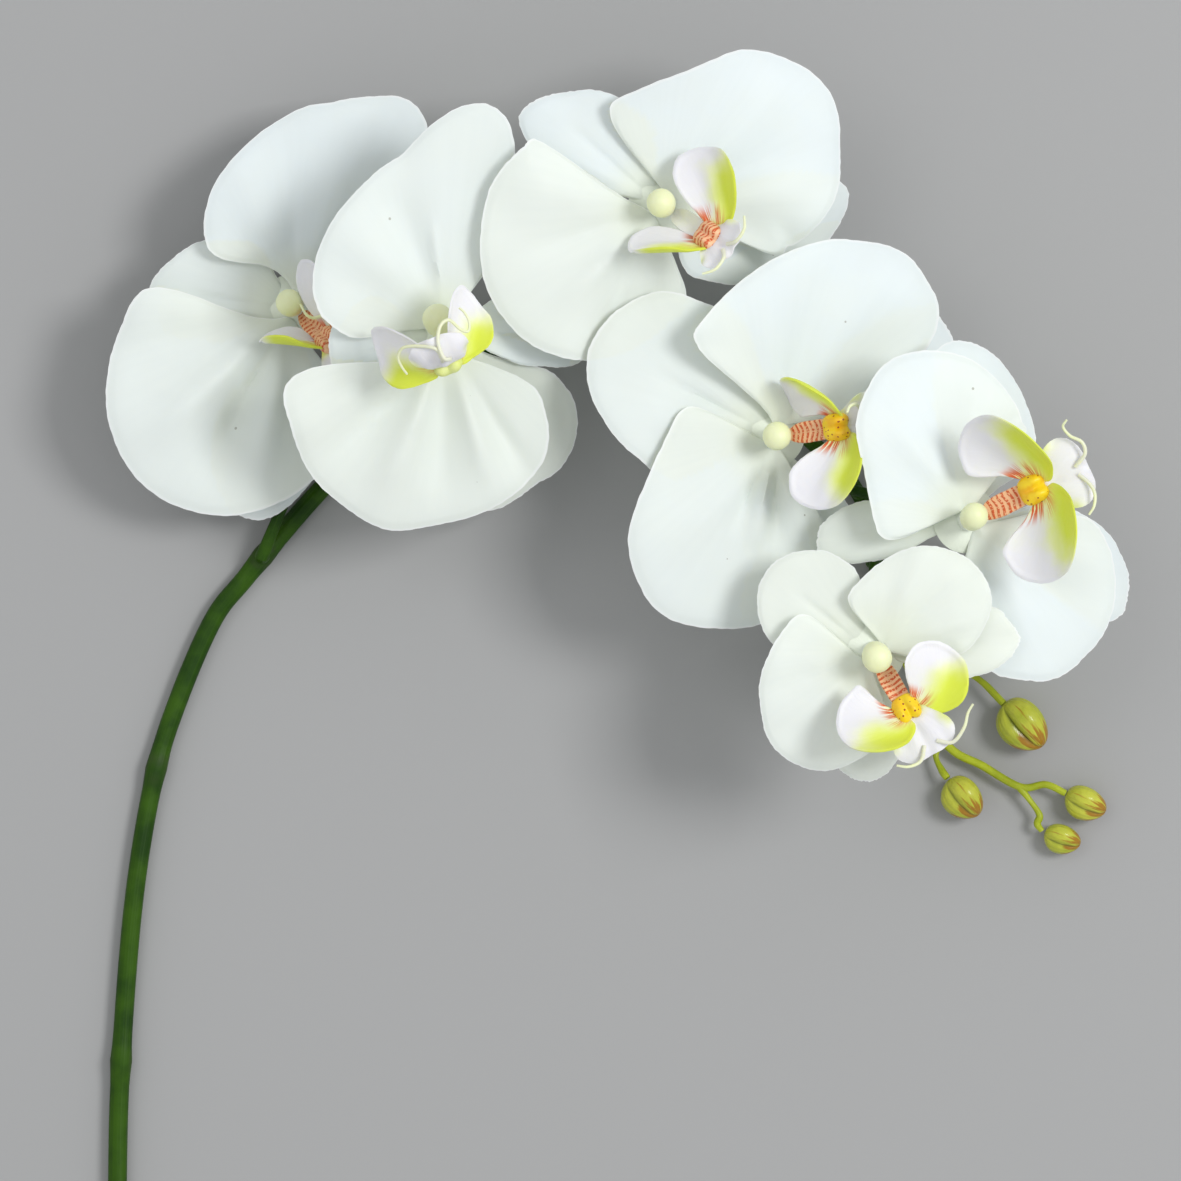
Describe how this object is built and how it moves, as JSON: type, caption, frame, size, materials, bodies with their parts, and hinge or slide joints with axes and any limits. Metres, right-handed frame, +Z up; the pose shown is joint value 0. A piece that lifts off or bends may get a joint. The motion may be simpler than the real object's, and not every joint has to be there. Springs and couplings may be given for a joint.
{
  "type": "moth orchid stem",
  "caption": "Cut stem of white moth orchid blooms with buds at its pale tip, lying on its back with the blooms facing up.",
  "frame": {"origin": "centre of the bounding box in plan, at the surface that the stem lies on", "axes": "+Y from the cut end towards the top of the spray, +Z up towards the faces of the blooms, +X towards the side that the stem arches to"},
  "size_m": [0.2808, 0.5373, 0.0843],
  "materials": {
    "petal_white": "matt white, faintly translucent, with fine veins",
    "lip_white": "matt white with yellow-green rims, a golden callus and red-orange stripes",
    "column_cream": "satin pale yellow-green",
    "stem_green": "satin dark green, mottled",
    "stalk_green": "satin green",
    "tip_green": "satin yellow-green",
    "bud_green": "satin olive green with orange-brown streaks"
  },
  "bodies": {
    "root": {"stem": "stem_green", "stem_tip": "tip_green", "bud_1": "bud_green", "bud_2": "bud_green", "bud_3": "bud_green", "bud_4": "bud_green", "bloom_1_stalk": "stalk_green", "bloom_1_dorsal_sepal": "petal_white", "bloom_1_upper_petal": "petal_white", "bloom_1_lower_petal": "petal_white", "bloom_1_upper_sepal": "petal_white", "bloom_1_lower_sepal": "petal_white", "bloom_1_lip": "lip_white", "bloom_1_column": "column_cream", "bloom_2_stalk": "stalk_green", "bloom_2_dorsal_sepal": "petal_white", "bloom_2_upper_petal": "petal_white", "bloom_2_lower_petal": "petal_white", "bloom_2_upper_sepal": "petal_white", "bloom_2_lower_sepal": "petal_white", "bloom_2_lip": "lip_white", "bloom_2_column": "column_cream", "bloom_3_stalk": "stalk_green", "bloom_3_dorsal_sepal": "petal_white", "bloom_3_upper_petal": "petal_white", "bloom_3_lower_petal": "petal_white", "bloom_3_upper_sepal": "petal_white", "bloom_3_lower_sepal": "petal_white", "bloom_3_lip": "lip_white", "bloom_3_column": "column_cream", "bloom_4_stalk": "stalk_green", "bloom_4_dorsal_sepal": "petal_white", "bloom_4_upper_petal": "petal_white", "bloom_4_lower_petal": "petal_white", "bloom_4_upper_sepal": "petal_white", "bloom_4_lower_sepal": "petal_white", "bloom_4_lip": "lip_white", "bloom_4_column": "column_cream", "bloom_5_stalk": "stalk_green", "bloom_5_dorsal_sepal": "petal_white", "bloom_5_upper_petal": "petal_white", "bloom_5_lower_petal": "petal_white", "bloom_5_upper_sepal": "petal_white", "bloom_5_lower_sepal": "petal_white", "bloom_5_lip": "lip_white", "bloom_5_column": "column_cream", "bloom_6_stalk": "stalk_green", "bloom_6_dorsal_sepal": "petal_white", "bloom_6_upper_petal": "petal_white", "bloom_6_lower_petal": "petal_white", "bloom_6_upper_sepal": "petal_white", "bloom_6_lower_sepal": "petal_white", "bloom_6_lip": "lip_white", "bloom_6_column": "column_cream"}
  },
  "joints": []
}
